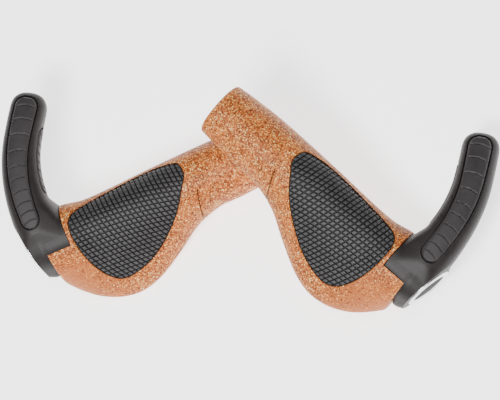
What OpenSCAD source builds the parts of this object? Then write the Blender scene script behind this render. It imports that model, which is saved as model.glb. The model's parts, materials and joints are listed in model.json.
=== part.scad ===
// A pair of ergonomic handlebar grips with built-in bar ends, lying on a table: the left grip is flat
// on the table and the right grip leans on its barrel. Millimetres, +Z up, the table at z = 0.
//
// Each grip is drawn in its own frame: X runs outboard along the handlebar from the grip's inboard
// end, Y points forward to the horn and Z points up out of the palm pad. The left grip is the mirror
// image of the right one.

/* [Handlebar] */
// Diameter of the handlebar that the grips slide over
bar_d = 22.2; // [22:0.1:22.4]
// Difference in diameter between the handlebar and the bore
bar_play = 0.1; // [0.1:0.05:0.3]

/* [Grip] */
// Outer radius of the rigid core tube inside the sleeve
core_r = 12.2; // [12:0.1:12.4]
// Length of the core tube, which is how far the handlebar goes in
core_l = 133.5; // [131:0.5:133.5]
// Distance from the inboard end to the joint between sleeve and clamp
sleeve_l = 118.5; // [117:0.5:119]
// Distance from the inboard end to the end of the palm wing
wing_l = 132.5; // [131:0.5:133]
// Thickness of the palm pad
pad_t = 1.3; // [1:0.1:1.4]

/* [Bar end] */
// Distance from the inboard end to the middle of the end cap
cap_x = 142; // [141:0.5:143]
// How far the end face is turned towards the rear, in degrees
cap_turn = 10; // [6:1:12]
// How far the end face is turned upwards, in degrees
cap_tilt = 4; // [0:1:6]
// Radius of the ring round the end cap
cap_r = 12.9; // [12.7:0.1:13.1]
// Gap between the clamp and the sleeve
part_gap = 0.4; // [0.3:0.1:0.6]
// Radial running clearance of the clamp on the core
turn_play = 0.05; // [0.03:0.01:0.08]

/* [Clamp screw] */
// Thread diameter of the clamp screw
bolt_d = 4; // [3:0.5:4]
// Place of the clamp screw along the grip
bolt_x = 130; // [128:0.5:131]
// Width of the slot that the screw closes
slot_w = 1.6; // [1:0.2:2]

/* [Resting pose] */
// Turn, pitch and roll of the right grip as it lies
right_turn = [-2, 14, -43];
// Turn, pitch and roll of the left grip as it lies
left_turn = [16, 4.5, 20.5];
// Where the inboard end of the right grip's axis is
right_at = [-5.9, 42.2, 53.3];
// Where the inboard end of the left grip's axis is
left_at = [12.2, 28.6, 14.85];

/* [Hidden] */
$fn = 48;

bore_r = (bar_d + bar_play) / 2;
clamp_bore_r = core_r + turn_play;
root_r = 15.6;
notch_r = root_r + 0.3;
notch_y = -6;
notch_under_y = -11.5;
bolt_r = bolt_d / 2;
bolt_z = -(clamp_bore_r + bolt_r + 1.2);
head_r = 3.5;
head_h = 4;
washer_t = 0.8;
seat_y = 5;
insert_r = 3.1;
plug_depth = 5;
ring_depth = 2.5;

// Points round the sleeve: front arc, top curve and underside curve
arc_n = 16;
top_n = 14;
under_n = 9;
sleeve_rings = 28;

// Radius of the barrel along the grip
barrel_radius = [[0, 14.8], [12, 15.8], [31, 16.5], [64, 15.7], [93, 14.4], [107, 14.4], [118.5, 16.4],
    [132.5, 16.2]];
// How far the wing reaches behind the bar's axis
wing_reach = [[0, 14.8], [27, 17.1], [40, 17.5], [55, 22.2], [70, 31.3], [85, 39.3], [97, 42.4],
    [108, 41.2], [118.5, 36.5], [126, 30.4], [132.5, 23.2]];
// Height of the wing's rear edge
wing_height = [[0, 0], [31, 0], [54, -2.4], [74, -6.2], [96, -8.2], [118.5, -6.7], [132.5, -4]];
// How far the top stays level behind the axis, and how blunt the rear edge is
top_fullness = [[0, 8.2], [32, 9], [53, 11.3], [74, 15.5], [95, 17.5], [118.5, 14.5], [132.5, 12.4]];
edge_fullness = [[0, 8.2], [32, 9], [53, 8.2], [74, 6.7], [95, 6.2], [132.5, 6.2]];

// Outline of the palm pad seen from above, anticlockwise from its narrow inboard end
pad_outline = [[48.4, 7.2], [48.9, 3.6], [52, -1], [58.7, -10.3], [68, -19], [79.3, -26.8], [89.6, -31.2],
    [99, -32.8], [105, -31], [110, -25.8], [114, -17], [116.1, -5.7], [115.9, 4.1], [113.3, 8.8],
    [107, 10.9], [95, 12.2], [77, 13.7], [62, 14], [52.5, 12.7], [49.5, 10.8]];

// Spine that stiffens the wing from inside, seen from above
spine_outline = [[58, -11], [70, -21], [84, -28], [100, -31], [112, -27], [118, -20], [118, -11]];

// Centre line of the horn: station, then x, y, z, width and thickness
horn_line = [
    [0, [132.7, 2.5, 6, 24.2, 23.5]],
    [1, [133, 14.4, 7.2, 23, 21.5]],
    [2, [133, 26.8, 6.4, 21.6, 20]],
    [3, [130.6, 39.1, 4.8, 20.4, 18.8]],
    [4, [127, 51, 1, 20, 18.5]],
    [5, [120.3, 62.8, -3.7, 19.9, 18]],
    [6, [111.8, 77.5, -10.6, 19.8, 16.5]]
];
tip_start = 5.45;
horn_squareness = 2.5;
inlay_proud = 0.3;

// ---- Curves ----

// Index of the table row at or before x
function row_before(t, x, i = 0) = i >= len(t) - 2 || x < t[i + 1][0] ? i : row_before(t, x, i + 1);

// Slope of a table at row i, from its neighbours
function slope(t, i) =
    let(a = max(i - 1, 0), b = min(i + 1, len(t) - 1))
    (t[b][1] - t[a][1]) / (t[b][0] - t[a][0]);

// Smooth value of a table at x, which may be a number or a list
function at(t, x) =
    let(
        i = row_before(t, x),
        h = t[i + 1][0] - t[i][0],
        u = (x - t[i][0]) / h,
        u2 = u * u,
        u3 = u2 * u
    )
    (2 * u3 - 3 * u2 + 1) * t[i][1] + (u3 - 2 * u2 + u) * h * slope(t, i)
        + (3 * u2 - 2 * u3) * t[i + 1][1] + (u3 - u2) * h * slope(t, i + 1);

function bezier(p, u) =
    pow(1 - u, 3) * p[0] + 3 * u * pow(1 - u, 2) * p[1] + 3 * u * u * (1 - u) * p[2] + pow(u, 3) * p[3];

function ease(u) = let(v = max(0, min(1, u))) v * v * (3 - 2 * v);

function unit(v) = v / norm(v);

function mean(ring) = [for (p = ring) 1] * ring / len(ring);

// Closed outline through points, with n steps between neighbours
function rounded(pts, n = 2) = [
    for (i = [0 : len(pts) - 1], k = [0 : n - 1])
        let(
            m = len(pts),
            u = k / n,
            a = pts[(i + m - 1) % m],
            b = pts[i],
            c = pts[(i + 1) % m],
            d = pts[(i + 2) % m]
        )
        b + u * (c - a) / 2 + u * u * (2 * a - 5 * b + 4 * c - d) / 2
            + u * u * u * (3 * b - a - 3 * c + d) / 2
];

// ---- Solids ----

// Closed solid through rings of equal length, which turn anticlockwise about the direction of travel
module skin(rings) {
    m = len(rings);
    n = len(rings[0]);
    polyhedron(
        points = concat([for (ring = rings) each ring], [mean(rings[0]), mean(rings[m - 1])]),
        faces = concat(
            [
                for (i = [0 : m - 2], j = [0 : n - 1])
                    let(a = i * n + j, b = i * n + (j + 1) % n)
                    each [[a, b + n, b], [a, a + n, b + n]]
            ],
            [for (j = [0 : n - 1]) [m * n, j, (j + 1) % n]],
            [for (j = [0 : n - 1]) [m * n + 1, (m - 1) * n + (j + 1) % n, (m - 1) * n + j]]
        )
    );
}

// Cylinder along X between two places
module rod_x(x0, x1, r) {
    translate([x0, 0, 0])
        rotate([0, 90, 0])
            cylinder(r = r, h = x1 - x0);
}

// Solid of revolution about X: the profile's points are [radius, x]
module turned_x(profile) {
    rotate([0, 90, 0])
        rotate_extrude()
            polygon(profile);
}

// Cylinder along Y on the clamp screw's axis
module rod_bolt(y0, y1, r) {
    translate([bolt_x, y0, bolt_z])
        rotate([-90, 0, 0])
            cylinder(r = r, h = y1 - y0);
}

// Frame of the end face: X points out of it
module on_end_face() {
    translate([cap_x, 0, 0])
        rotate([0, -cap_tilt, -cap_turn])
            children();
}

// ---- Sleeve, pad and core ----

// Section of the sleeve across the bar at x, drawn in by inset
function sleeve_ring(x, inset = 0) =
    let(
        r = at(barrel_radius, x) - inset,
        s = at(wing_reach, x) - inset,
        z = at(wing_height, x),
        w = ease((s - r) / 14),
        low = -r * cos(45),
        k = 0.2652 * r,
        foot = [low, low],
        foot_round = foot - k * [cos(45), -cos(45)],
        foot_wing = foot + [-8, 1.5],
        edge = [-s, z],
        top = [[0, r], [-at(top_fullness, x), r], [-s, z + at(edge_fullness, x) - inset / 2], edge],
        under = [edge, [-s, z - k * (1 - w) - 9 * w], (1 - w) * foot_round + w * foot_wing, foot],
        flat = concat(
            [for (i = [0 : arc_n - 1]) let(t = -135 + 225 * i / arc_n) r * [cos(t), sin(t)]],
            [for (i = [0 : top_n - 1]) bezier(top, i / top_n)],
            [for (i = [0 : under_n - 1]) bezier(under, i / under_n)]
        )
    )
    [for (p = flat) [x, p[0], p[1]]];

// The sleeve's outer shape with its hollows filled
module sleeve_shape() {
    step = (wing_l - 5) / sleeve_rings;
    skin(concat(
        [sleeve_ring(0, 1.2), sleeve_ring(0.5, 0.4), sleeve_ring(1.4)],
        [for (i = [0 : sleeve_rings]) sleeve_ring(4 + i * step)],
        [sleeve_ring(wing_l, 0.8)]
    ));
}

// The sleeve's shape under the pad
module pad_floor_shape() {
    step = (wing_l - 5) / sleeve_rings;
    skin([for (i = [8 : 26]) sleeve_ring(4 + i * step, pad_t)]);
}

module pad_shape() {
    difference() {
        linear_extrude(height = 20)
            polygon(rounded(pad_outline));
        pad_floor_shape();
    }
}

module spine() {
    translate([0, 0, -5.5])
        linear_extrude(height = 3)
            polygon(spine_outline);
}

// Room for the clamp at the sleeve's outboard end
module clamp_notch() {
    rod_x(sleeve_l, wing_l + 1, notch_r);
    translate([sleeve_l, notch_y, 0])
        cube([wing_l, 60, 30]);
    translate([sleeve_l, notch_under_y, -30])
        cube([wing_l, 60, 31]);
}

module grip_sleeve() {
    color([0.72, 0.43, 0.22])
        difference() {
            sleeve_shape();
            pad_shape();
            rod_x(-1, wing_l + 1, core_r);
            spine();
            clamp_notch();
        }
}

module palm_pad() {
    color([0.16, 0.16, 0.17])
        intersection() {
            sleeve_shape();
            pad_shape();
        }
}

module grip_core() {
    color([0.12, 0.12, 0.13])
        difference() {
            union() {
                rod_x(0.4, core_l, core_r);
                spine();
            }
            rod_x(-1, core_l + 1, bore_r);
            // Slots that let the clamp squeeze the core on to the bar
            for (a = [45 : 90 : 315])
                rotate([a, 0, 0])
                    translate([sleeve_l + 3, -0.6, core_r - 3])
                        cube([core_l, 1.2, 4]);
        }
}

// ---- Bar end ----

function horn_point(s) = let(p = at(horn_line, s)) [p[0], p[1], p[2]];
function horn_dir(s) = unit(horn_point(min(s + 0.05, 6)) - horn_point(max(s - 0.05, 0)));
function horn_side(s) = unit(cross(horn_dir(s), [0, 0, 1]));
function horn_up(s) = cross(horn_side(s), horn_dir(s));

// How full the horn still is at station s: 1 along the horn, falling to almost 0 at the tip
function horn_full(s) =
    let(k = max(0, (s - tip_start) / (6 - tip_start)))
    pow(1 - 0.995 * pow(k, horn_squareness), 1 / horn_squareness);

function curve_power(c) = sign(c) * pow(abs(c), 2 / horn_squareness);

function horn_ring(s, n = 24) =
    let(p = at(horn_line, s), f = horn_full(s) / 2)
    [
        for (i = [0 : n - 1])
            let(t = 360 * i / n)
            horn_point(s) + f * p[4] * curve_power(cos(t)) * horn_up(s)
                + f * p[3] * curve_power(sin(t)) * horn_side(s)
    ];

// Half size of the horn in one direction, at offset b of the half size other in the other direction
function horn_skin(half, b, other) =
    half * pow(1 - pow(min(0.98, abs(b) / other), horn_squareness), 1 / horn_squareness);

module horn() {
    skin(concat(
        [for (i = [0 : 16]) horn_ring(tip_start * i / 16)],
        [for (a = [18 : 18 : 90]) horn_ring(tip_start + (6 - tip_start) * sin(a))]
    ));
}

// Section of an inlay strip of half width w at station s. It lies on the horn's top, or on its
// inboard side, runs from 1.6 mm under the horn's skin to proud above it, and is shifted by off.
function strip_ring(s, w, proud, inner, off = 0) =
    let(
        p = at(horn_line, s),
        f = horn_full(s) / 2,
        out = inner ? -horn_side(s) : horn_up(s),
        across = inner ? horn_up(s) : horn_side(s),
        half = f * (inner ? p[3] : p[4]),
        other = f * (inner ? p[4] : p[3]),
        deep = horn_skin(half, w + abs(off), other) - 1.6,
        top = [for (b = [-1 : 0.5 : 1]) [b * w, horn_skin(half, b * w + off, other) + proud]],
        flat = concat(top, [[w, deep], [0, deep], [-w, deep]])
    )
    [for (q = flat) horn_point(s) + (q[0] + off) * across + q[1] * out];

// A strip from station s0 to s1 with round ends
module strip(s0, s1, w0, w1, proud, inner = false, off = 0) {
    n = 16;
    end = 0.35;
    skin([
        for (i = [0 : n])
            let(
                u = i / n,
                s = s0 + (s1 - s0) * (1 - cos(180 * u)) / 2,
                k = max(0, 1 - min(s - s0, s1 - s) / end),
                w = (w0 + (w1 - w0) * u) * sqrt(1 - 0.93 * k * k)
            )
            strip_ring(s, w, proud, inner, off)
    ]);
}

module top_strip(proud) {
    strip(0.72, 5.72, 4.6, 6, proud);
}

module inner_strip(proud) {
    strip(1.9, 4.9, 4.6, 4.6, proud, true, -1);
}

// Clamp barrel with the rounded foot that follows the wing's outline
module clamp_barrel() {
    rod_x(sleeve_l + part_gap, wing_l + 2, root_r);
    hull() {
        rod_x(wing_l + part_gap, wing_l + 1, 16.2);
        translate([0, -10.3, -1.5])
            rod_x(wing_l + part_gap, wing_l + 3, 8);
        rod_x(cap_x + 2.6, cap_x + 3, 14.3);
    }
}

// Lug under the clamp that the screw passes through
module clamp_lug() {
    hull() {
        for (y = [-6, 6])
            translate([0, y, bolt_z - 1.7])
                rod_x(bolt_x - 8, bolt_x + 7, 3.2);
        translate([bolt_x - 8, -10, -9])
            cube([15, 20, 1]);
    }
}

module bar_end_body() {
    color([0.13, 0.13, 0.14])
        difference() {
            union() {
                clamp_barrel();
                clamp_lug();
                horn();
            }
            rod_x(sleeve_l - 1, cap_x + 10, clamp_bore_r);
            on_end_face()
                translate([0, -40, -40])
                    cube([20, 80, 80]);
            on_end_face()
                rod_x(-plug_depth, 1, cap_r);
            // Slot, screw hole, head recess and insert pocket
            translate([sleeve_l - 1, -slot_w / 2, -30])
                cube([cap_x, slot_w, 25]);
            rod_bolt(-12, 12, bolt_r + 0.2);
            rod_bolt(seat_y, 14, head_r + 0.25);
            rod_bolt(-14, -2, insert_r);
            top_strip(3);
            inner_strip(3);
        }
}

module horn_inlay_top() {
    color([0.2, 0.2, 0.21])
        top_strip(inlay_proud);
}

module horn_inlay_inner() {
    color([0.2, 0.2, 0.21])
        inner_strip(inlay_proud);
}

module end_cap() {
    inner = cap_r - 3.2;
    color([0.08, 0.08, 0.09])
        on_end_face()
            turned_x([
                [0, -plug_depth], [cap_r, -plug_depth], [cap_r, -ring_depth], [inner, -ring_depth],
                [inner, 0.3], [inner * 0.72, 0.8], [inner * 0.38, 1.1], [0, 1.2]
            ]);
}

module cap_ring() {
    inner = cap_r - 3.2;
    color([0.82, 0.83, 0.84])
        on_end_face()
            turned_x([
                [inner, -ring_depth], [cap_r, -ring_depth], [cap_r, 0.5], [cap_r - 0.5, 1],
                [inner + 0.5, 1], [inner, 0.5]
            ]);
}

module clamp_insert() {
    color([0.72, 0.58, 0.3])
        difference() {
            rod_bolt(-8.6, -2, insert_r);
            rod_bolt(-9, -1, bolt_r + 0.05);
        }
}

module clamp_washer() {
    color([0.7, 0.7, 0.72])
        difference() {
            rod_bolt(seat_y + 0.02, seat_y + washer_t, head_r - 0.1);
            rod_bolt(seat_y - 1, seat_y + 2, bolt_r + 0.15);
        }
}

module clamp_bolt() {
    head_y = seat_y + washer_t + 0.02;
    color([0.75, 0.75, 0.77])
        difference() {
            union() {
                rod_bolt(-8.2, head_y, bolt_r);
                rod_bolt(head_y, head_y + head_h, head_r);
            }
            // Hexagon socket, 3 mm across flats
            translate([bolt_x, head_y + head_h - 2, bolt_z])
                rotate([-90, 0, 0])
                    cylinder(r = 1.5 / cos(30), h = 3, $fn = 6);
        }
}

// ---- Placing ----

module right() {
    translate(right_at)
        rotate(right_turn)
            children();
}

module left() {
    translate(left_at)
        rotate(left_turn)
            mirror([1, 0, 0])
                children();
}

right() grip_sleeve();  // right_grip_sleeve
right() palm_pad();  // right_palm_pad
right() grip_core();  // right_grip_core
right() bar_end_body();  // right_bar_end_body
right() horn_inlay_top();  // right_horn_inlay_top
right() horn_inlay_inner();  // right_horn_inlay_inner
right() end_cap();  // right_end_cap
right() cap_ring();  // right_cap_ring
right() clamp_insert();  // right_clamp_insert
right() clamp_washer();  // right_clamp_washer
right() clamp_bolt();  // right_clamp_bolt
left() grip_sleeve();  // left_grip_sleeve
left() palm_pad();  // left_palm_pad
left() grip_core();  // left_grip_core
left() bar_end_body();  // left_bar_end_body
left() horn_inlay_top();  // left_horn_inlay_top
left() horn_inlay_inner();  // left_horn_inlay_inner
left() end_cap();  // left_end_cap
left() cap_ring();  // left_cap_ring
left() clamp_insert();  // left_clamp_insert
left() clamp_washer();  // left_clamp_washer
left() clamp_bolt();  // left_clamp_bolt
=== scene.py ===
"""The pair of bar end grips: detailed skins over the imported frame, materials, studio and camera.

Shapes are built in millimetres in one grip's own frame (X outboard from the inboard end, Y forward,
Z up) and then placed in the row frame, in metres, once for each hand.
"""
import json
import math

import bmesh
import bpy
import numpy as np
from mathutils import Euler, Matrix, Vector


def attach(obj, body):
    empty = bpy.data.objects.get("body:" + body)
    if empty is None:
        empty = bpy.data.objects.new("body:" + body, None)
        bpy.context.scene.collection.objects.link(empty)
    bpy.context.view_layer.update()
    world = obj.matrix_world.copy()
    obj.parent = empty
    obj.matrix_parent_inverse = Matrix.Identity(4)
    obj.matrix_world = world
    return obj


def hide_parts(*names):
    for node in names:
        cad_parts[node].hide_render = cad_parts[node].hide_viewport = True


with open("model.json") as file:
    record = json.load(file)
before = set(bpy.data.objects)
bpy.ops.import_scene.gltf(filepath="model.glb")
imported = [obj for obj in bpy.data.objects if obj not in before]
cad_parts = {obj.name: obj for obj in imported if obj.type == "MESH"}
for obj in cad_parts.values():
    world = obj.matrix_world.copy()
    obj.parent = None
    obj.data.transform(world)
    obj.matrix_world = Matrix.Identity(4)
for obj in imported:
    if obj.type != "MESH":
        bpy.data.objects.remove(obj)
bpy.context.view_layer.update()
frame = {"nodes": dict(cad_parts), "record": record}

# ---- Where each grip lies: the same values as the CAD source ----
RIGHT_TURN, RIGHT_AT = (-2, 14, -43), (-5.9, 42.2, 53.3)
LEFT_TURN, LEFT_AT = (16, 4.5, 20.5), (12.2, 28.6, 14.85)


def placing(turn, at_mm, flip):
    """Matrix from a grip's own frame in mm to the row frame in metres."""
    turned = Euler([math.radians(a) for a in turn], "XYZ").to_matrix().to_4x4()
    mirror = Matrix.Diagonal((-1 if flip else 1, 1, 1, 1))
    return Matrix.Scale(0.001, 4) @ Matrix.Translation(at_mm) @ turned @ mirror


PLACE = {"right": placing(RIGHT_TURN, RIGHT_AT, False), "left": placing(LEFT_TURN, LEFT_AT, True)}

# ---- Shape tables, in mm: as in the CAD source, but the horn's line is faired a little ----
BARREL_RADIUS = [(0, 14.8), (12, 15.8), (31, 16.5), (64, 15.7), (93, 14.4), (107, 14.4), (118.5, 16.4),
                 (132.5, 16.2)]
WING_REACH = [(0, 14.8), (27, 17.1), (40, 17.5), (55, 22.2), (70, 31.3), (85, 39.3), (97, 42.4),
              (108, 41.2), (118.5, 36.5), (126, 30.4), (132.5, 23.2)]
WING_HEIGHT = [(0, 0), (31, 0), (54, -2.4), (74, -6.2), (96, -8.2), (118.5, -6.7), (132.5, -4)]
TOP_FULLNESS = [(0, 8.2), (32, 9), (53, 11.3), (74, 15.5), (95, 17.5), (118.5, 14.5), (132.5, 12.4)]
EDGE_FULLNESS = [(0, 8.2), (32, 9), (53, 8.2), (74, 6.7), (95, 6.2), (132.5, 6.2)]
PAD_OUTLINE = [(48.4, 7.2), (48.9, 3.6), (52, -1), (58.7, -10.3), (68, -19), (79.3, -26.8),
               (89.6, -31.2), (99, -32.8), (105, -31), (110, -25.8), (114, -17), (116.1, -5.7),
               (115.9, 4.1), (113.3, 8.8), (107, 10.9), (95, 12.2), (77, 13.7), (62, 14),
               (52.5, 12.7), (49.5, 10.8)]
HORN_LINE = [
    (0, (132.7, 2.5, 6, 24.2, 23.5)),
    (1, (133.1, 14.4, 7, 23, 21.5)),
    (2, (132.6, 26.8, 6.6, 21.7, 20)),
    (3, (130.6, 39.1, 4.6, 20.7, 19)),
    (4, (126.6, 51.2, 1.2, 20.1, 18.4)),
    (5, (120.1, 63.6, -3.9, 19.8, 17.8)),
    (6, (111.8, 77.5, -10.6, 19.7, 16.5)),
]
TIP_START, SQUARENESS = 5.45, 2.5
MM_PER_STATION = 13.0  # about how far apart the horn line's stations are
SLEEVE_L, WING_L = 118.5, 132.5  # outboard ends of the sleeve's barrel and of its wing
CORE_R, CLAMP_R, TURN_R = 12.2, 12.25, 15.7  # bores of sleeve and clamp, outside of the clamp barrel
CAP_X, CAP_TURN, CAP_TILT, CAP_R = 142.0, 10.0, 4.0, 12.9  # end face: place, two angles, ring's radius
BOLT_X, BOLT_Z = 130.0, -15.45
PAD_T = 1.3


def at(table, x):
    """Smooth value of a table at x. The table's values may be tuples."""
    i = 0
    while i < len(table) - 2 and x >= table[i + 1][0]:
        i += 1

    def slope(k):
        a, b = max(k - 1, 0), min(k + 1, len(table) - 1)
        return (np.array(table[b][1], float) - np.array(table[a][1], float)) / (table[b][0] - table[a][0])

    h = table[i + 1][0] - table[i][0]
    u = (x - table[i][0]) / h
    p, q = np.array(table[i][1], float), np.array(table[i + 1][1], float)
    return ((2 * u**3 - 3 * u**2 + 1) * p + (u**3 - 2 * u**2 + u) * h * slope(i)
            + (3 * u**2 - 2 * u**3) * q + (u**3 - u**2) * h * slope(i + 1))


def bezier(points, u):
    """Points of a cubic Bezier curve at the values u."""
    u = np.asarray(u)[:, None]
    p = [np.array(q, float) for q in points]
    return (1 - u)**3 * p[0] + 3 * u * (1 - u)**2 * p[1] + 3 * u * u * (1 - u) * p[2] + u**3 * p[3]


def smooth(lo, hi, v):
    """Smooth step from 0 at lo to 1 at hi."""
    t = np.clip((v - lo) / (hi - lo), 0, 1)
    return t * t * (3 - 2 * t)


def section(x, inset=0.0, counts=(72, 72, 48)):
    """Outline of the sleeve across the bar at x, as (y, z): front arc, top, then underside."""
    r = float(at(BARREL_RADIUS, x)) - inset
    s = float(at(WING_REACH, x)) - inset
    z = float(at(WING_HEIGHT, x))
    w = float(smooth(0, 14, s - r))
    c, k = math.cos(math.radians(45)), 0.2652 * r  # k: handle that makes an eighth of a circle
    foot = np.array([-r * c, -r * c])
    foot_round, foot_wing = foot - k * np.array([c, -c]), foot + [-8, 1.5]
    edge = [-s, z]
    top = [[0, r], [-float(at(TOP_FULLNESS, x)), r],
           [-s, z + float(at(EDGE_FULLNESS, x)) - inset / 2], edge]
    under = [edge, [-s, z - k * (1 - w) - 9 * w], (1 - w) * foot_round + w * foot_wing, foot]
    a = np.radians(-135 + 225 * np.arange(counts[0]) / counts[0])
    return np.vstack([np.c_[r * np.cos(a), r * np.sin(a)],
                      bezier(top, np.arange(counts[1]) / counts[1]),
                      bezier(under, np.arange(counts[2]) / counts[2])])


def rounded(points, n=8):
    """Closed smooth outline through points."""
    p = np.array(points, float)
    a, b, c, d = np.roll(p, 1, 0), p, np.roll(p, -1, 0), np.roll(p, -2, 0)
    out = []
    for k in range(n):
        u = k / n
        out.append(b + u * (c - a) / 2 + u * u * (2 * a - 5 * b + 4 * c - d) / 2
                   + u**3 * (3 * b - a - 3 * c + d) / 2)
    return np.stack(out, 1).reshape(-1, 2)


# ---- Mesh helpers ----
def new_object(name, verts, faces):
    mesh = bpy.data.meshes.new(name)
    mesh.from_pydata([tuple(v) for v in verts], [], [tuple(f) for f in faces])
    mesh.update()
    obj = bpy.data.objects.new(name, mesh)
    bpy.context.scene.collection.objects.link(obj)
    return obj


def skin(name, rings):
    """Closed solid through rings of equal length, which turn anticlockwise about the way they go."""
    m, n = len(rings), len(rings[0])
    verts = np.vstack(rings)
    faces = [(i * n + j, i * n + (j + 1) % n, (i + 1) * n + (j + 1) % n, (i + 1) * n + j)
             for i in range(m - 1) for j in range(n)]
    verts = np.vstack([verts, rings[0].mean(0), rings[-1].mean(0)])
    faces += [(m * n, (j + 1) % n, j) for j in range(n)]
    faces += [(m * n + 1, (m - 1) * n + j, (m - 1) * n + (j + 1) % n) for j in range(n)]
    return outward(new_object(name, verts, faces))


def outward(obj):
    """Turn all face normals outwards."""
    bm = bmesh.new()
    bm.from_mesh(obj.data)
    bmesh.ops.recalc_face_normals(bm, faces=bm.faces)
    bm.to_mesh(obj.data)
    bm.free()
    return obj


def box_piece(name, lo, hi):
    """Box between its lowest and highest corners, given as two points."""
    x, y, z = zip(lo, hi)
    verts = [(x[i], y[j], z[k]) for i in (0, 1) for j in (0, 1) for k in (0, 1)]
    faces = [(0, 1, 3, 2), (4, 6, 7, 5), (0, 4, 5, 1), (2, 3, 7, 6), (0, 2, 6, 4), (1, 5, 7, 3)]
    return outward(new_object(name, verts, faces))


def turned(name, profile, n=96, frame_matrix=None):
    """Solid of revolution about X through (x, radius) points."""
    t = np.linspace(0, 2 * np.pi, n, endpoint=False)
    rings = [np.c_[np.full(n, x), r * np.cos(t), r * np.sin(t)] for x, r in profile]
    obj = skin(name, rings)
    if frame_matrix is not None:
        obj.data.transform(frame_matrix)
    return obj


def apply_all(obj):
    """Apply every modifier."""
    mesh = bpy.data.meshes.new_from_object(obj.evaluated_get(bpy.context.evaluated_depsgraph_get()))
    obj.modifiers.clear()
    old, obj.data = obj.data, mesh
    bpy.data.meshes.remove(old)
    return obj


def combine(obj, other, operation):
    """Boolean of two solids into the first. The second is used up."""
    mod = obj.modifiers.new("combine", "BOOLEAN")
    mod.solver, mod.operation, mod.object = "MANIFOLD", operation, other
    apply_all(obj)
    if not len(obj.data.vertices):
        raise RuntimeError(f"nothing left of {obj.name} after {operation} with {other.name}")
    bpy.data.objects.remove(other)
    return obj


def end_face():
    """Frame of the end face: X points out of it."""
    return (Matrix.Translation((CAP_X, 0, 0)) @ Matrix.Rotation(math.radians(-CAP_TURN), 4, "Z")
            @ Matrix.Rotation(math.radians(-CAP_TILT), 4, "Y"))


def bolt_rod(name, y0, y1, r):
    """Rod along the clamp screw's line, from y0 to y1."""
    obj = turned(name, [(y0, r), (y1, r)], 48, Matrix.Rotation(math.radians(90), 4, "Z"))
    obj.data.transform(Matrix.Translation((BOLT_X, 0, BOLT_Z)))
    return obj


# ---- Upper surface of the sleeve, as a height over the plan ----
PLAN_DX, PLAN_DY = 0.5, 0.25
PLAN_X, PLAN_Y = np.arange(44, 121, PLAN_DX), np.arange(-36, 17, PLAN_DY)
ARC_POINTS, TOP_POINTS, UNDER_POINTS = 200, 160, 40


def surface_grids():
    """Height of the upper surface, and length along it across the bar, over the plan grid."""
    heights, lengths = [], []
    for x in PLAN_X:
        s = section(x, 0, (ARC_POINTS, TOP_POINTS, UNDER_POINTS))
        arc = s[:ARC_POINTS]
        arc = arc[(arc[:, 0] > 0) & (arc[:, 1] > 0)]
        top = np.vstack([arc, s[ARC_POINTS:ARC_POINTS + TOP_POINTS]])[::-1]
        run = np.r_[0, np.cumsum(np.hypot(*np.diff(top, axis=0).T))]
        run = run - np.interp(0, top[:, 0], run)
        heights.append(np.interp(PLAN_Y, top[:, 0], top[:, 1]))
        lengths.append(np.interp(PLAN_Y, top[:, 0], run))
    return np.array(heights), np.array(lengths)


HEIGHT, LENGTH = surface_grids()


def grid_at(grid, x, y):
    """Value of a plan grid at points, between its nodes by straight lines."""
    i = np.clip((np.asarray(x) - PLAN_X[0]) / PLAN_DX, 0, len(PLAN_X) - 1.001)
    j = np.clip((np.asarray(y) - PLAN_Y[0]) / PLAN_DY, 0, len(PLAN_Y) - 1.001)
    a, b = i.astype(int), j.astype(int)
    u, v = i - a, j - b
    return ((1 - u) * (1 - v) * grid[a, b] + u * (1 - v) * grid[a + 1, b]
            + (1 - u) * v * grid[a, b + 1] + u * v * grid[a + 1, b + 1])


OUTLINE = rounded(PAD_OUTLINE)
twice_area = np.sum(OUTLINE[:, 0] * np.roll(OUTLINE[:, 1], -1) - np.roll(OUTLINE[:, 0], -1) * OUTLINE[:, 1])
ORIENT = 1.0 if twice_area > 0 else -1.0


def offset_outline(d):
    """The pad's outline moved outwards by d."""
    t = np.roll(OUTLINE, -1, 0) - np.roll(OUTLINE, 1, 0)
    t /= np.linalg.norm(t, axis=1)[:, None]
    return OUTLINE + d * np.c_[t[:, 1], -t[:, 0]] * ORIENT


def prism(name, levels):
    """Closed solid through plan outlines at heights: levels are (outline, z or array of z)."""
    rings = [np.c_[o, np.broadcast_to(z, len(o))] for o, z in levels]
    return skin(name, rings)


def field(name, top, floor):
    """Closed solid from a grid of points down to a flat floor at a height."""
    n, m = top.shape[:2]
    i, j = np.meshgrid(np.arange(n - 1), np.arange(m - 1), indexing="ij")
    a = (i * m + j).ravel()
    faces = [*map(tuple, np.c_[a, a + m, a + m + 1, a + 1])]
    rim = ([k * m for k in range(n)] + [(n - 1) * m + k for k in range(1, m)]
           + [k * m + m - 1 for k in range(n - 2, -1, -1)] + [k for k in range(m - 2, 0, -1)])
    points = top.reshape(-1, 3)
    low = points[rim] * [1, 1, 0] + [0, 0, floor]
    verts = np.vstack([points, low, low.mean(0)])
    for k, p in enumerate(rim):
        q = (k + 1) % len(rim)
        faces.append((p, n * m + k, n * m + q, rim[q]))
        faces.append((n * m + k, len(verts) - 1, n * m + q))
    return outward(new_object(name, verts, faces))


PAD_FINE, PAD_COARSE = 0.18, 0.7  # grid steps of the pad's visible top and of its underside
PAD_GAP, BED_GAP = 0.12, 0.05  # the pad inside its outline, and the bed outside it
BED_CHAMFER = 0.4
FIELD_FLOOR, ABOVE_ALL = -20.0, 30.0


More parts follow.
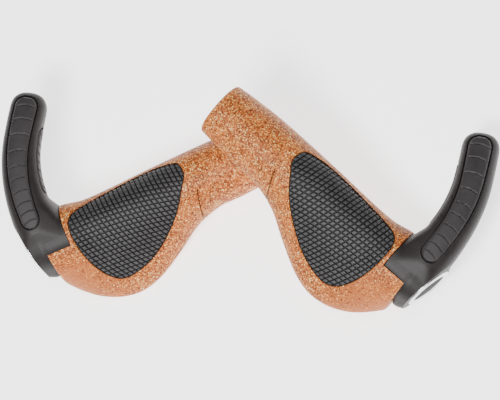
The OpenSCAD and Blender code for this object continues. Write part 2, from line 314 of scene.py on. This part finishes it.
def pad_field(name, lift, step, pattern=None):
    """Solid under the sleeve's upper surface, raised along the normal by lift and a pattern."""
    xs = np.arange(46, 119, step)
    ys = np.arange(-34.5, 15.6, step)
    x, y = np.meshgrid(xs, ys, indexing="ij")
    z = grid_at(HEIGHT, x, y)
    zx, zy = np.gradient(z, xs, ys)
    normal = np.dstack([-zx, -zy, np.ones_like(z)])
    normal /= np.linalg.norm(normal, axis=2)[..., None]
    up = lift + (pattern(x, y) if pattern else 0 * x)
    return field(name, np.dstack([x, y, z]) + normal * up[..., None], FIELD_FLOOR)


def outline_distance(x, y):
    """Distance inwards from the pad's outline, for a grid of points."""
    p = np.stack([x.ravel(), y.ravel()], 1)
    best = np.full(len(p), 1e9)
    for a, b in zip(OUTLINE, np.roll(OUTLINE, -1, 0)):
        e = b - a
        t = np.clip(((p - a) @ e) / (e @ e), 0, 1)
        best = np.minimum(best, np.hypot(*(p - a - t[:, None] * e).T))
    return best.reshape(x.shape)


PAD_GROOVE_DEPTH, CELL_CROWN = 0.7, 0.10


def diamond_grid(x, y):
    """Height of the moulded grid: raised cells between two families of fine grooves.

    Each family's value grows by 1 from groove to groove, and bends a little across the pad.
    """
    v = grid_at(LENGTH, x, y)
    first = 0.385 * x - 0.095 * v + 0.0015 * v * v
    second = -0.385 * v + 0.1 * (x - 60) - 0.00098 * (x - 60)**2
    near = (0.5 - np.maximum(np.abs((first % 1) - 0.5), np.abs((second % 1) - 0.5))) / 0.4
    cell = smooth(0.16, 0.42, near)
    inside = outline_distance(x, y)
    cell = cell * smooth(0.12, 0.42, inside)
    crown = CELL_CROWN * smooth(0.3, 1.25, near)
    return -PAD_GROOVE_DEPTH * (1 - cell) + crown * cell


# ---- Sleeve and pad ----
CREASE_X, CREASE_LEAN, CREASE_HALF, CREASE_DEPTH = 43.3, 0.33, 0.32, 0.6
END_ROUND, END_STEPS = 1.5, 6  # rounding of the inboard end
RING_STEP, CREASE_STEP = 1.1, 0.25  # distance between sections, elsewhere and around the crease
SEAT_R = 15.9  # room for the clamp barrel inside the wing
NOTCH_TOP_Y, NOTCH_LOW_Y, NOTCH_Z = -6, -11.5, 1  # front of the wing's end, and of it below NOTCH_Z


def crease(x, y, z):
    """Fine moulding crease across the barrel where the wing starts, 0 to 1."""
    gap = (x - CREASE_X - CREASE_LEAN * np.abs(y)) / CREASE_HALF
    return np.exp(-gap**2) * smooth(2.5, 6, -y) * smooth(-9, -6, z)


def sleeve_stations():
    """Where the sleeve's sections stand, as (x, inset): rounded end, body, softened outboard edge."""
    stations = [(END_ROUND, 0.0)]
    for k in range(1, END_STEPS + 1):
        a = math.radians(90 * k / END_STEPS)
        stations.insert(0, (END_ROUND * (1 - math.sin(a)), END_ROUND * (1 - math.cos(a))))
    xs = [*np.arange(2.2, 42.5, RING_STEP), *np.arange(43, 52.5, CREASE_STEP),
          *np.arange(53, WING_L - 1.0, RING_STEP)]
    stations += [(x, 0.0) for x in xs]
    return stations + [(WING_L - 0.6, 0.1), (WING_L - 0.2, 0.35), (WING_L, 0.8)]


def make_sleeve():
    rings = []
    for x, inset in sleeve_stations():
        s = section(x, inset)
        s = s * (1 - CREASE_DEPTH * crease(x, *s.T) / np.hypot(*s.T))[:, None]
        rings.append(np.c_[np.full(len(s), x), s])
    obj = skin("sleeve", rings)
    surface = grid_at(HEIGHT, *OUTLINE.T)
    bed = prism("bed", [(OUTLINE, FIELD_FLOOR), (offset_outline(BED_GAP), surface - 0.5),
                        (offset_outline(BED_GAP + BED_CHAMFER), surface + 0.12),
                        (offset_outline(0.5), ABOVE_ALL)])
    combine(bed, pad_field("bed_floor", -PAD_T, 0.5), "DIFFERENCE")
    combine(obj, bed, "DIFFERENCE")
    combine(obj, turned("bore", [(-2, CORE_R), (WING_L + 2, CORE_R)]), "DIFFERENCE")
    combine(obj, turned("seat", [(SLEEVE_L, SEAT_R), (WING_L + 2, SEAT_R)], 160), "DIFFERENCE")
    for lo_y, lo_z, hi_z in ((NOTCH_TOP_Y, 0, 30), (NOTCH_LOW_Y, -30, NOTCH_Z)):
        combine(obj, box_piece("notch", (SLEEVE_L, lo_y, lo_z), (WING_L + 9, 60, hi_z)), "DIFFERENCE")
    return obj


def make_pad():
    obj = pad_field("pad", -PAD_GAP, PAD_FINE, diamond_grid)
    wall = prism("wall", [(offset_outline(-PAD_GAP), FIELD_FLOOR + 1), (offset_outline(-PAD_GAP), ABOVE_ALL)])
    combine(wall, pad_field("pad_floor", -PAD_T + 0.03, PAD_COARSE), "DIFFERENCE")
    return combine(obj, wall, "INTERSECT")


def pad_groove_shade(v):
    """How deep in a groove a point of the pad lies, 0 to 1: how much painted shade the pad's material puts
    there.
    """
    rise = diamond_grid(v[:, 0], v[:, 1])
    return np.clip(-rise / 0.5, 0, 1)


# ---- Horn ----
def horn_frame(s):
    """Point on the horn's line at a station, and its directions: along, sideways and up."""
    def point(q):
        return at(HORN_LINE, q)[:3]

    d = point(min(s + 0.05, 6)) - point(max(s - 0.05, 0))
    d /= np.linalg.norm(d)
    side = np.cross(d, [0, 0, 1])
    side /= np.linalg.norm(side)
    return point(s), d, side, np.cross(side, d)


def horn_full(s):
    """Share of the full section: 1 as far as the tip's rounding, then down to almost 0."""
    k = max(0.0, (s - TIP_START) / (6 - TIP_START))
    return (1 - 0.998 * k**SQUARENESS)**(1 / SQUARENESS)


def horn_ring(s, n=72):
    """Outline of the horn at a station, a rounded square."""
    row, f = at(HORN_LINE, s), horn_full(s) / 2
    p, d, side, up = horn_frame(s)
    t = np.linspace(0, 2 * np.pi, n, endpoint=False)

    def power(c):
        return np.sign(c) * np.abs(c)**(2 / SQUARENESS)

    return (p + f * row[4] * power(np.cos(t))[:, None] * up
            + f * row[3] * power(np.sin(t))[:, None] * side)


def horn_skin(half, b, other):
    """Height of the horn's surface over its line, b to the side of it."""
    return half * (1 - np.minimum(0.98, np.abs(b) / other)**SQUARENESS)**(1 / SQUARENESS)


STRIP_DEEP, STRIP_END = 1.6, 0.35  # depth below the surface, and length of the round ends in stations


def make_strip(name, s0, s1, w0, w1, proud, inner=False, off=0.0, grow=0.0, pattern=None, n=330, across=31):
    """Inlay strip on the horn's top or inboard side, with round ends and an optional groove pattern.

    It runs from station s0 to s1, w0 to w1 wide to each side, off from the middle of its side.
    """
    rings = []
    s0, s1 = s0 - grow / MM_PER_STATION, s1 + grow / MM_PER_STATION
    for i in range(n + 1):
        u = (1 - math.cos(math.pi * i / n)) / 2
        s = s0 + (s1 - s0) * u
        near = min(s - s0, s1 - s)
        k = max(0.0, 1 - near / STRIP_END)
        w = (w0 + grow + (w1 - w0) * u) * math.sqrt(1 - 0.96 * k * k)
        row, f = at(HORN_LINE, s), horn_full(s) / 2
        p, d, side, up = horn_frame(s)
        out, cross = (-side, up) if inner else (up, side)
        half, other = f * (row[3] if inner else row[4]), f * (row[4] if inner else row[3])
        b = np.linspace(-w, w, across)
        lift = proud + (pattern(s, b, w, near) if pattern else 0.0)
        top = horn_skin(half, b + off, other) + lift
        low = np.full(across, horn_skin(half, w + abs(off), other) - STRIP_DEEP)
        pts = [p + (bb + off) * cross + h * out for bb, h in zip(b, top)]
        pts += [p + (bb + off) * cross + h * out for bb, h in zip(b[::-1], low)]
        rings.append(np.array(pts))
    return skin(name, rings)


ARC_STATIONS = (1.0, 1.36, 1.75, 2.22, 2.72, 3.2, 3.8, 4.42, 4.98, 5.42)
SLASH_STATIONS = [2.15 + 0.4 * k for k in range(7)]
SLASH_SCALE = 12.5  # mm per station along the inner strip
STRIP_GROOVE, STRIP_LIP, LIP_WIDTH = 0.5, 0.45, 0.8


def strip_relief(depth, b, w, near):
    """Grooves of the given depth, and rounded edges all round."""
    edge = np.minimum(w - np.abs(b), near * MM_PER_STATION)
    return -np.maximum(depth, STRIP_LIP * (1 - smooth(0.0, LIP_WIDTH, edge)))


def arc_grooves(s, b, w, near):
    """Ten shallow grooves that bow towards the tip."""
    t = b / max(w, 1.0)
    depth = np.zeros_like(b)
    for c in ARC_STATIONS:
        gap = np.abs(s - (c - 0.07 * t * t - 0.03 * t + 0.03)) * MM_PER_STATION
        depth = np.maximum(depth, STRIP_GROOVE * (1 - smooth(0.12, 0.42, gap)))
    return strip_relief(depth, b, w, near)


def slash_grooves(s, b, w, near):
    """Seven slanting grooves."""
    t = b / max(w, 1.0)
    depth = np.zeros_like(b)
    for c in SLASH_STATIONS:
        gap = np.abs(s - (c + 0.13 * t)) * SLASH_SCALE
        depth = np.maximum(depth, STRIP_GROOVE * (1 - smooth(0.15, 0.5, gap)))
    return strip_relief(depth, b, w, near)


TOP_STRIP = {"s0": 0.72, "s1": 5.72, "w0": 4.6, "w1": 6}
INNER_STRIP = {"s0": 1.9, "s1": 4.9, "w0": 4.6, "w1": 4.6, "inner": True, "off": -1}

# ---- Bar end body ----
ROOT_S, HORN_STEPS, TIP_STEP = 0.5, 56, 5  # horn's skin: first station, sections, step of its tip in degrees
FACE_R = 14.4  # clamp's outside at the end face
FOOT_R, FOOT_SIDE_R, FOOT_Y, FOOT_Z = 16.2, 8, -10.3, -1.5
LUG_X, LUG_EDGE_R = (BOLT_X - 8, BOLT_X + 7), 3.2
MELT_VOXEL, FLOW_FACTOR, FLOW_STEPS = 0.55, 0.5, 34
JOINT_GAP = 0.45  # between the sleeve's end and the clamp
# The wing's end with a small gap round it, and how far the bar end turns past it, in degrees
ROOM_R, ROOM_TOP_Y, ROOM_LOW_Y, ROOM_Z = 15.84, -5.65, -11.3, 0.8
ROOM_TURNS = (-20.8, -16, -12, -8, -4)
SLOT_HALF, SHANK_R, HEAD_R, INSERT_R = 0.8, 2.2, 3.75, 3.1
SEAT_GAP, BED_GROW = 0.03, 0.8  # round the cap's ring, and round the inlay strips


def hull_piece(name, *rings):
    """Convex solid around the points of the rings."""
    obj = new_object(name, np.vstack(rings), [])
    bm = bmesh.new()
    bm.from_mesh(obj.data)
    found = bmesh.ops.convex_hull(bm, input=bm.verts)
    spare = {v for v in found["geom_interior"] + found["geom_unused"] if isinstance(v, bmesh.types.BMVert)}
    bmesh.ops.delete(bm, geom=list(spare), context="VERTS")
    bmesh.ops.recalc_face_normals(bm, faces=bm.faces)
    bm.to_mesh(obj.data)
    bm.free()
    return obj


def circle(x, r, y=0.0, z=0.0, n=96):
    """Points of a circle across X."""
    t = np.linspace(0, 2 * np.pi, n, endpoint=False)
    return np.c_[np.full(n, x), y + r * np.cos(t), z + r * np.sin(t)]


def body_mass():
    """Clamp barrel, foot, screw lug and horn, melted into one smooth moulding."""
    obj = turned("body", [(SLEEVE_L - 3, TURN_R), (WING_L + 2, TURN_R)], 128)
    stations = [ROOT_S + (TIP_START - ROOT_S) * i / HORN_STEPS for i in range(HORN_STEPS + 1)]
    stations += [TIP_START + (6 - TIP_START) * math.sin(math.radians(a))
                 for a in range(TIP_STEP, 91, TIP_STEP)]
    solids = [
        hull_piece("foot", circle(WING_L + 0.4, FOOT_R), circle(WING_L + 1, FOOT_R),
                   circle(WING_L + 0.4, FOOT_SIDE_R, FOOT_Y, FOOT_Z),
                   circle(WING_L + 3, FOOT_SIDE_R, FOOT_Y, FOOT_Z),
                   circle(CAP_X + 2.6, FACE_R - 0.1), circle(CAP_X + 3, FACE_R - 0.1)),
        hull_piece("lug", *[circle(x, LUG_EDGE_R, y, BOLT_Z - 1.7, 40) for x in LUG_X for y in (-6, 6)],
                   [(x, y, z) for x in LUG_X for y in (-10, 10) for z in (-9, -8)]),
        skin("horn", [horn_ring(q) for q in stations]),
        hull_piece("fairing", circle(SLEEVE_L - 0.2, TURN_R - 0.35), circle(WING_L + 0.4, TURN_R - 0.35),
                   circle(CAP_X + 1, FACE_R), horn_ring(0.52)),
        hull_piece("shoulder", circle(SLEEVE_L + 0.2, 14.9), circle(WING_L, 14.9),
                   horn_ring(0.8), horn_ring(1.7)),
    ]
    for solid in solids:
        combine(obj, solid, "UNION")
    melt = obj.modifiers.new("melt", "REMESH")
    melt.mode, melt.voxel_size, melt.adaptivity = "VOXEL", MELT_VOXEL, 0.0
    flow = obj.modifiers.new("flow", "SMOOTH")
    flow.factor, flow.iterations = FLOW_FACTOR, FLOW_STEPS
    return apply_all(obj)


def sleeve_room():
    """The space that the wing's end needs beside the clamp, once for each step of the bar end's turn."""
    room = turned("room", [(SLEEVE_L - 2, 45), (WING_L + 0.35, 45)])
    combine(room, turned("inside", [(SLEEVE_L - 4, ROOM_R), (WING_L + 2, ROOM_R)], 128), "DIFFERENCE")
    for lo_y, lo_z, hi_z in ((ROOM_TOP_Y, 0, 60), (ROOM_LOW_Y, -60, ROOM_Z)):
        combine(room, box_piece("kept", (SLEEVE_L - 4, lo_y, lo_z), (WING_L + 9, 60, hi_z)), "DIFFERENCE")
    copies = []
    for angle in ROOM_TURNS:
        swept = room.copy()
        swept.data = room.data.copy()
        bpy.context.scene.collection.objects.link(swept)
        swept.data.transform(Matrix.Rotation(math.radians(angle), 4, "X"))
        copies.append(swept)
    return copies + [room]


def make_body():
    obj = body_mass()
    face = end_face()
    beyond_face = box_piece("beyond_face", (0, -40, -40), (20, 40, 40))
    beyond_face.data.transform(face)
    cuts = [
        turned("bore", [(SLEEVE_L - 5, CLAMP_R), (CAP_X + 10, CLAMP_R)]),
        box_piece("joint_face", (SLEEVE_L - 20, -60, -60), (SLEEVE_L + JOINT_GAP, 20, 60)),
        *sleeve_room(),
        beyond_face,
        turned("ring_seat", [(-5.0, CAP_R + SEAT_GAP), (1, CAP_R + SEAT_GAP)], 128, face),
        box_piece("slot", (SLEEVE_L - 1, -SLOT_HALF, -30), (SLEEVE_L + CAP_X, SLOT_HALF, -5)),
        bolt_rod("shank_hole", -12, 12, SHANK_R),
        bolt_rod("head_recess", 5, 14, HEAD_R),
        bolt_rod("insert_pocket", -14, -2, INSERT_R),
        make_strip("top_bed", proud=4, grow=BED_GROW, n=120, across=9, **TOP_STRIP),
        make_strip("inner_bed", proud=4, grow=BED_GROW, n=90, across=9, **INNER_STRIP),
    ]
    for cut in cuts:
        combine(obj, cut, "DIFFERENCE")
    return obj


# ---- Materials ----
def node_material(name):
    """New node material, with its shader, texture coordinates and helpers to add and link nodes."""
    m = bpy.data.materials.new(name)
    m.use_nodes = True
    tree = m.node_tree
    bsdf = tree.nodes["Principled BSDF"]
    coord = tree.nodes.new("ShaderNodeTexCoord")

    def add(kind, inputs=None, **props):
        node = tree.nodes.new(kind)
        for k, v in props.items():
            setattr(node, k, v)
        for k, v in (inputs or {}).items():
            if hasattr(v, "links") or isinstance(v, bpy.types.NodeSocket):
                tree.links.new(v, node.inputs[k])
            else:
                node.inputs[k].default_value = v
        return node

    def link(a, b):
        tree.links.new(a, b)

    return m, bsdf, coord, add, link


def ramp(add, fac, stops):
    """Colour ramp through (position, colour) stops."""
    node = add("ShaderNodeValToRGB", {"Fac": fac})
    el = node.color_ramp.elements
    while len(el) < len(stops):
        el.new(0.5)
    for e, (pos, col) in zip(el, stops):
        e.position = pos
        e.color = (*col, 1)
    return node


def cork_material():
    """Orange-brown compound full of fine golden and dark cork granules, with a satin skin and painted shade
    in the crease across the barrel.
    """
    m, bsdf, coord, add, link = node_material("cork_compound")
    where = coord.outputs["Object"]
    warp = add("ShaderNodeTexNoise", {"Vector": where, "Scale": 1400.0, "Detail": 2.0})
    moved = add("ShaderNodeMix", {"Factor": 0.0006, "A": where, "B": warp.outputs["Color"]},
                data_type="VECTOR")
    at_granule = moved.outputs["Result"]
    cloud = add("ShaderNodeTexNoise", {"Vector": where, "Scale": 130.0, "Detail": 6.0, "Roughness": 0.7})
    base = ramp(add, cloud.outputs["Fac"], [(0.32, (0.270, 0.062, 0.015)), (0.5, (0.400, 0.100, 0.024)),
                                            (0.68, (0.560, 0.155, 0.036))])
    fleck = add("ShaderNodeAttribute", attribute_name="fleck")
    how_many = fleck.outputs["Fac"]
    plain = add("ShaderNodeMix", {"Factor": how_many, "A": (0.50, 0.150, 0.042, 1),
                                  "B": base.outputs["Color"]}, data_type="RGBA")
    colour = plain.outputs["Result"]
    layers = [(1150.0, 0.76, (0.17, 0.036, 0.007), 0.65), (1500.0, 0.78, (0.76, 0.25, 0.045), 0.75),
              (1600.0, 0.78, (0.12, 0.024, 0.005), 0.85), (2000.0, 0.84, (0.92, 0.38, 0.08), 0.85),
              (1900.0, 0.93, (0.98, 0.68, 0.27), 1.0)]
    for scale, cut, tint, strength in layers:
        cells = add("ShaderNodeTexVoronoi", {"Vector": at_granule, "Scale": scale, "Randomness": 1.0})
        pick = add("ShaderNodeSeparateColor", {"Color": cells.outputs["Color"]})
        limit = add("ShaderNodeMath", {0: 1.0, 1: how_many}, operation="SUBTRACT")
        lift = add("ShaderNodeMath", {0: limit.outputs[0], 1: 1.0 - cut}, operation="MULTIPLY")
        edge = add("ShaderNodeMath", {0: lift.outputs[0], 1: cut}, operation="ADD")
        over = add("ShaderNodeMath", {0: pick.outputs["Red"], 1: edge.outputs[0]}, operation="SUBTRACT")
        mask = add("ShaderNodeMath", {0: over.outputs[0], 1: 30.0}, operation="MULTIPLY", use_clamp=True)
        amount = add("ShaderNodeMath", {0: mask.outputs[0], 1: strength}, operation="MULTIPLY")
        mixed = add("ShaderNodeMix", {"Factor": amount.outputs[0], "A": colour, "B": (*tint, 1)},
                    data_type="RGBA")
        colour = mixed.outputs["Result"]
    # Painted shade: the crease across the barrel is darkened by the groove attribute, which comes from
    # crease().
    deep = add("ShaderNodeAttribute", attribute_name="groove")
    painted_crease_shade = add("ShaderNodeMix", {"Factor": deep.outputs["Fac"], "A": colour, "B": (0.05, 0.014, 0.004, 1)},
               data_type="RGBA")
    link(painted_crease_shade.outputs["Result"], bsdf.inputs["Base Color"])
    rough = add("ShaderNodeTexNoise", {"Vector": where, "Scale": 900.0, "Detail": 2.0})
    roughness = add("ShaderNodeMapRange", {"Value": rough.outputs["Fac"], "To Min": 0.42, "To Max": 0.62})
    link(roughness.outputs["Result"], bsdf.inputs["Roughness"])
    grain = add("ShaderNodeTexVoronoi", {"Vector": at_granule, "Scale": 1500.0})
    bump = add("ShaderNodeBump", {"Height": grain.outputs["Distance"], "Strength": 0.25,
                                  "Distance": 0.0003})
    link(bump.outputs["Normal"], bsdf.inputs["Normal"])
    bsdf.inputs["Specular IOR Level"].default_value = 0.2
    return m


def moulded_material(name, dark, light, rough, grain, strength, spec=0.5, groove=None):
    """Moulded black plastic or rubber: slight mottling, fine grain and uneven gloss; a groove colour adds
    painted shade in grooves.
    """
    m, bsdf, coord, add, link = node_material(name)
    where = coord.outputs["Object"]
    cloud = add("ShaderNodeTexNoise", {"Vector": where, "Scale": 120.0, "Detail": 5.0, "Roughness": 0.65})
    colour = ramp(add, cloud.outputs["Fac"], [(0.3, dark), (0.7, light)]).outputs["Color"]
    # Painted shade: the groove colour darkens the surface by the groove attribute.
    if groove:
        deep = add("ShaderNodeAttribute", attribute_name="groove")
        colour = add("ShaderNodeMix", {"Factor": deep.outputs["Fac"], "A": colour, "B": (*groove, 1)},
                     data_type="RGBA").outputs["Result"]
    link(colour, bsdf.inputs["Base Color"])
    fine = add("ShaderNodeTexNoise", {"Vector": where, "Scale": grain, "Detail": 3.0, "Roughness": 0.6})
    r = add("ShaderNodeMapRange", {"Value": cloud.outputs["Fac"], "To Min": rough - 0.06,
                                   "To Max": rough + 0.06})
    link(r.outputs["Result"], bsdf.inputs["Roughness"])
    bump = add("ShaderNodeBump", {"Height": fine.outputs["Fac"], "Strength": strength,
                                  "Distance": 0.0002})
    link(bump.outputs["Normal"], bsdf.inputs["Normal"])
    bsdf.inputs["Specular IOR Level"].default_value = spec
    return m


def metal_material(name, tone_a, tone_b, rough, grain):
    """Metal with faint mottling in tone, gloss and relief."""
    m, bsdf, coord, add, link = node_material(name)
    where = coord.outputs["Object"]
    noise = add("ShaderNodeTexNoise", {"Vector": where, "Scale": grain, "Detail": 4.0})
    col = ramp(add, noise.outputs["Fac"], [(0.35, tone_a), (0.65, tone_b)])
    link(col.outputs["Color"], bsdf.inputs["Base Color"])
    r = add("ShaderNodeMapRange", {"Value": noise.outputs["Fac"], "To Min": rough - 0.05,
                                   "To Max": rough + 0.08})
    link(r.outputs["Result"], bsdf.inputs["Roughness"])
    bump = add("ShaderNodeBump", {"Height": noise.outputs["Fac"], "Strength": 0.1, "Distance": 0.0001})
    link(bump.outputs["Normal"], bsdf.inputs["Normal"])
    bsdf.inputs["Metallic"].default_value = 1.0
    return m


MAT = {
    "cork_compound": cork_material(),
    # pad_rubber's last colour is painted shade in the pad's grooves.
    "pad_rubber": moulded_material("pad_rubber", (0.044, 0.042, 0.044), (0.066, 0.063, 0.066),
                                   0.50, 3500.0, 0.3, 0.3, (0.004, 0.004, 0.004)),
    "core_plastic": moulded_material("core_plastic", (0.015, 0.015, 0.016), (0.025, 0.025, 0.026),
                                     0.55, 1500.0, 0.15),
    "bar_end_plastic": moulded_material("bar_end_plastic", (0.016, 0.0135, 0.0133), (0.027, 0.023, 0.0227),
                                        0.46, 4000.0, 0.18, 0.22),
    "inlay_rubber": moulded_material("inlay_rubber", (0.030, 0.027, 0.028), (0.044, 0.040, 0.041),
                                     0.52, 4500.0, 0.25, 0.25),
    "cap_plastic": moulded_material("cap_plastic", (0.010, 0.010, 0.011), (0.018, 0.017, 0.018),
                                    0.60, 2500.0, 0.05, 0.08),
    "ring_aluminium": metal_material("ring_aluminium", (0.72, 0.73, 0.74), (0.82, 0.82, 0.83), 0.32, 2200.0),
    "insert_brass": metal_material("insert_brass", (0.70, 0.53, 0.24), (0.82, 0.65, 0.33), 0.3, 1800.0),
    "screw_steel": metal_material("screw_steel", (0.48, 0.48, 0.50), (0.62, 0.62, 0.64), 0.3, 2600.0),
}


# ---- Placing the pieces ----
def fleck_amount(v):
    """How many granules show at a point of the sleeve: fewer on the wing's smooth outer part."""
    x, y = v[:, 0], v[:, 1]
    plain = smooth(90, 125, x) * smooth(4, 22, -y)
    return np.clip(1 - 0.75 * plain, 0, 1)


# Values that the materials read at each point of a skin, by material slot
POINT_VALUES = {
    # groove on the cork: painted shade along the barrel's crease.
    "cork_compound": {"groove": lambda v: crease(*v.T), "fleck": fleck_amount},
    # groove on the pad: painted shade in the diamond grooves.
    "pad_rubber": {"groove": pad_groove_shade},
}


def place(shape, name, side, slot, body, node, sharp):
    """Copy a shape to its hand's place, as a piece that rides on a body and replaces a CAD node."""
    mesh = shape.data.copy()
    mesh.name = name
    co = np.empty(len(mesh.vertices) * 3)
    mesh.vertices.foreach_get("co", co)
    for key, value in POINT_VALUES.get(slot, {}).items():
        mesh.attributes.new(key, "FLOAT", "POINT").data.foreach_set("value", value(co.reshape(-1, 3)))
    mesh.transform(PLACE[side])
    if side == "left":
        mesh.flip_normals()
    mesh.polygons.foreach_set("use_smooth", [True] * len(mesh.polygons))
    mesh.set_sharp_from_angle(angle=math.radians(sharp))
    mesh.materials.clear()
    mesh.materials.append(MAT[slot])
    obj = bpy.data.objects.new(name, mesh)
    bpy.context.scene.collection.objects.link(obj)
    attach(obj, body)
    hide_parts(node)


shapes = {
    "grip_sleeve": make_sleeve(),
    "palm_pad": make_pad(),
    "bar_end_body": make_body(),
    "horn_inlay_top": make_strip("top", proud=0.3, pattern=arc_grooves, **TOP_STRIP),
    "horn_inlay_inner": make_strip("inner", proud=0.15, pattern=slash_grooves, n=220, **INNER_STRIP),
}
SLOTS = {"grip_sleeve": "cork_compound", "palm_pad": "pad_rubber", "bar_end_body": "bar_end_plastic",
         "horn_inlay_top": "inlay_rubber", "horn_inlay_inner": "inlay_rubber"}
SKIN_SHARP = {"palm_pad": 50, "bar_end_body": 50}  # degrees above which an edge is sharp
USUAL_SHARP, NODE_SHARP = 35, 30
for side in ("right", "left"):
    for part, shape in shapes.items():
        body = side + ("_grip" if part in ("grip_sleeve", "palm_pad") else "_bar_end")
        place(shape, f"{side}_{part}_skin", side, SLOTS[part], body, f"{side}_{part}",
              SKIN_SHARP.get(part, USUAL_SHARP))
for shape in shapes.values():
    bpy.data.objects.remove(shape)

slot_of = {s["node"]: s["material_slot"] for s in frame["record"]["subparts"]}
for name, node in frame["nodes"].items():
    node.data.materials.clear()
    node.data.materials.append(MAT[slot_of[name]])
    node.data.polygons.foreach_set("use_smooth", [True] * len(node.data.polygons))
    node.data.set_sharp_from_angle(angle=math.radians(NODE_SHARP))

# ---- Studio ----
FLOOR_HALF, FLOOR_GLOW, WORLD_GLOW = 18, 2.2, 0.16  # half the floor's side in m, and two strengths
corners = [(x * FLOOR_HALF, y * FLOOR_HALF, 0) for x, y in ((-1, -1), (1, -1), (1, 1), (-1, 1))]
floor = new_object("floor", corners, [(0, 1, 2, 3)])
m, bsdf, coord, add, link = node_material("floor_white")
tone = add("ShaderNodeTexNoise", {"Vector": coord.outputs["Object"], "Scale": 3.0})
pale = ramp(add, tone.outputs["Fac"], [(0.3, (0.93, 0.93, 0.93)), (0.7, (0.95, 0.95, 0.95))])
link(pale.outputs["Color"], bsdf.inputs["Base Color"])
bsdf.inputs["Roughness"].default_value = 0.9
bsdf.inputs["Specular IOR Level"].default_value = 0.1
bsdf.inputs["Emission Color"].default_value = (1, 1, 1, 1)
bsdf.inputs["Emission Strength"].default_value = FLOOR_GLOW
floor.data.materials.append(m)

world = bpy.data.worlds.new("studio")
bpy.context.scene.world = world
world.use_nodes = True
world.node_tree.nodes["Background"].inputs["Color"].default_value = (1.0, 1.0, 1.0, 1)
world.node_tree.nodes["Background"].inputs["Strength"].default_value = WORLD_GLOW


def lamp(name, at_m, size, energy):
    """Round area lamp that points at the origin: place and size in metres, power in watts."""
    data = bpy.data.lights.new(name, "AREA")
    data.shape, data.size, data.energy = "DISK", size, energy
    obj = bpy.data.objects.new(name, data)
    bpy.context.scene.collection.objects.link(obj)
    obj.location = at_m
    obj.rotation_mode = "QUATERNION"
    obj.rotation_quaternion = (-Vector(at_m)).to_track_quat("-Z", "Y")


lamp("key", (-0.1, -0.6, 1.15), 0.45, 22)
lamp("top", (0.25, 0.1, 1.4), 0.4, 6)

# ---- Camera: a long lens, looking down steeply, tilted as in the photograph ----
CAM_TURN, CAM_AIM, CAM_DIST = (11.55, 18.87, 0.0), (-6.958, 3.498), 1584.8  # degrees, mm, mm
cam_data = bpy.data.cameras.new("camera")
cam_data.lens, cam_data.sensor_width = 216.0, 36.0
cam_data.clip_start, cam_data.clip_end = 0.1, 60.0
cam = bpy.data.objects.new("camera", cam_data)
bpy.context.scene.collection.objects.link(cam)
turn = Euler([math.radians(a) for a in CAM_TURN], "XYZ").to_matrix()
cam.matrix_world = (Matrix.Translation(turn @ Vector((*CAM_AIM, CAM_DIST)) * 0.001) @ turn.to_4x4())
bpy.context.scene.camera = cam
